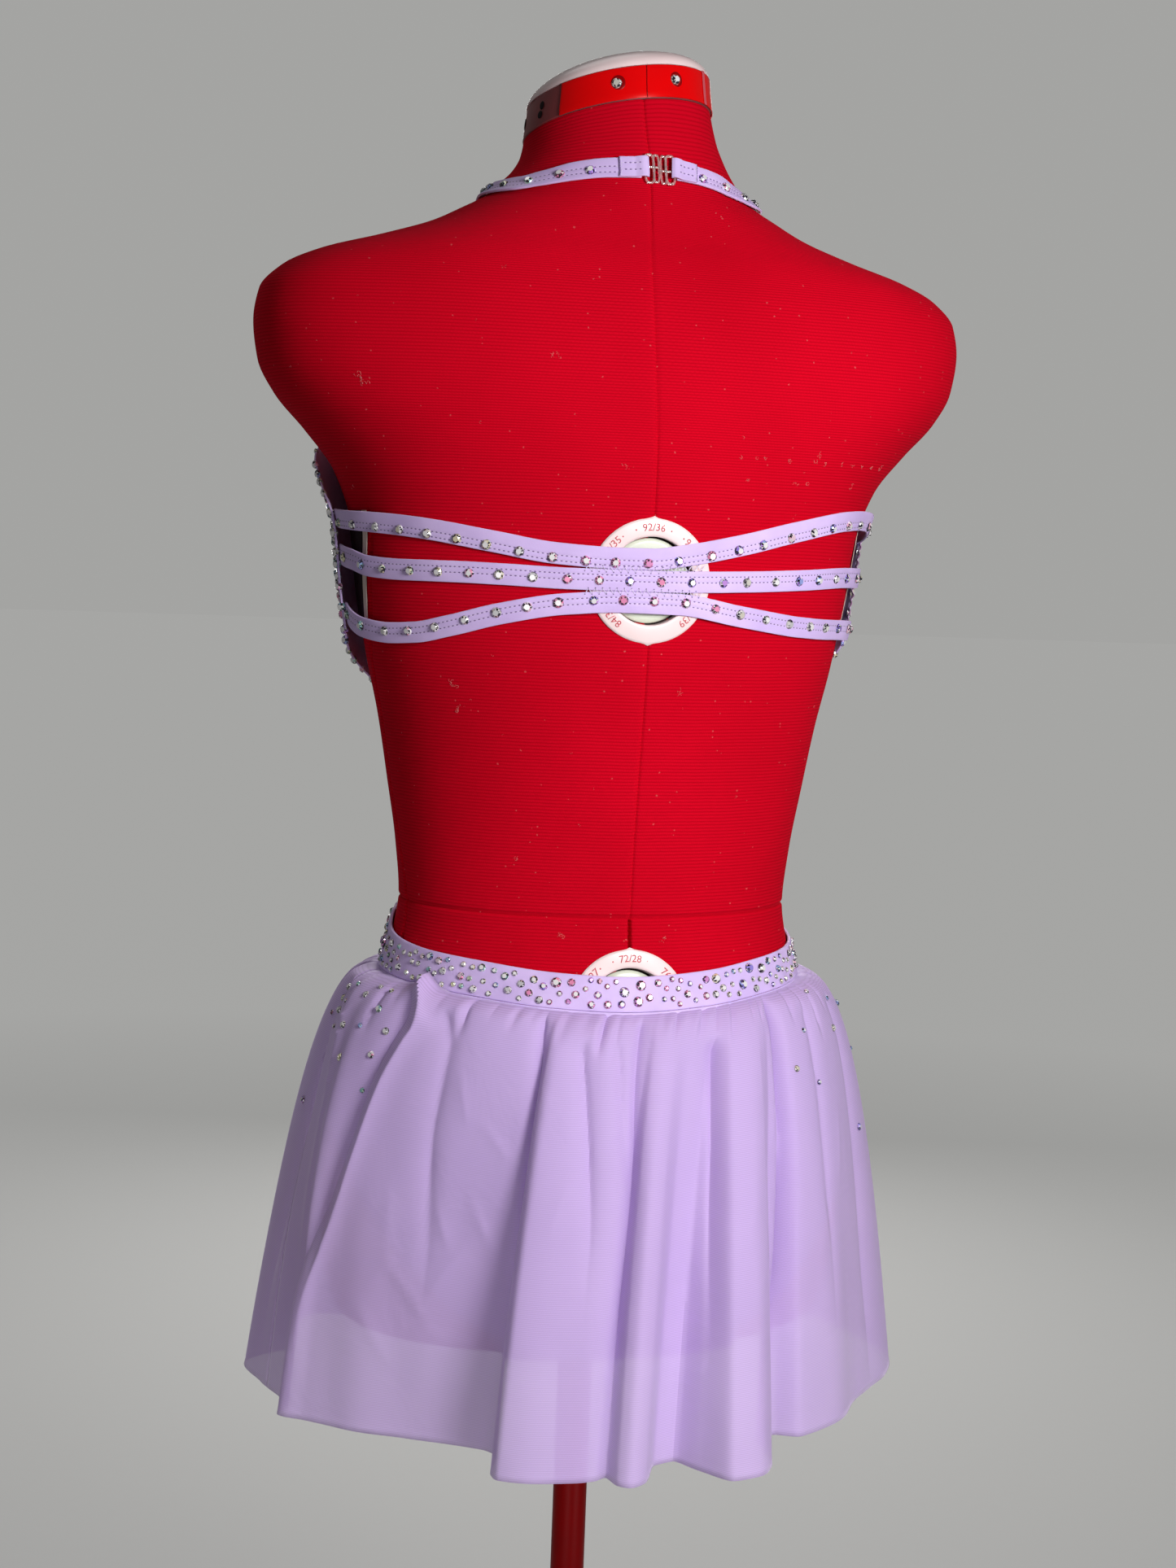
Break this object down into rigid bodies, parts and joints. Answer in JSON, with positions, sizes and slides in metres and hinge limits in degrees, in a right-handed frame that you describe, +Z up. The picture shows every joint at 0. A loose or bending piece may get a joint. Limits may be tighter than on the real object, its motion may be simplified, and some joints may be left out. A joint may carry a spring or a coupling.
{
  "type": "lyrical dance costume on a dress form",
  "caption": "Halter one-piece dance costume with crossed back straps and a flared sheer skirt, worn by a limbless dress form on a pole stand.",
  "frame": {"origin": "on the floor, under the pole's axis, at the centre of the stand", "axes": "+Z up, the wearer faces -Y, the wearer's left is +X"},
  "size_m": [0.544, 0.544, 1.4809],
  "materials": {
    "form_knit": "ribbed knit cover",
    "red_plastic": "glossy",
    "white_plastic": "satin",
    "pole_paint": "satin",
    "costume_cloth": "matt stretch knit",
    "skirt_mesh": "sheer mesh",
    "clear_plastic": "clear",
    "stones": "faceted, iridescent coating"
  },
  "bodies": {
    "root": {"form_torso": "form_knit", "form_neck_band": "red_plastic", "form_collar": "red_plastic", "stand_hub": "red_plastic", "stand_leg_back": "red_plastic", "stand_leg_left": "red_plastic", "stand_leg_front": "red_plastic", "stand_leg_right": "red_plastic", "form_neck_cap": "white_plastic", "form_dial_bust": "white_plastic", "form_knob_bust": "white_plastic", "form_dial_waist": "white_plastic", "form_knob_waist": "white_plastic", "stand_pole": "pole_paint", "bodice_left": "costume_cloth", "bodice_right": "costume_cloth", "neck_strap_left": "costume_cloth", "neck_strap_right": "costume_cloth", "back_strap_upper": "costume_cloth", "back_strap_middle": "costume_cloth", "back_strap_lower": "costume_cloth", "waistband": "costume_cloth", "brief_back": "costume_cloth", "brief_front": "costume_cloth", "brief_gusset": "costume_cloth", "skirt_back": "skirt_mesh", "skirt_front": "skirt_mesh", "neck_clasp_eye": "clear_plastic", "neck_clasp_hook": "clear_plastic"}
  },
  "joints": []
}
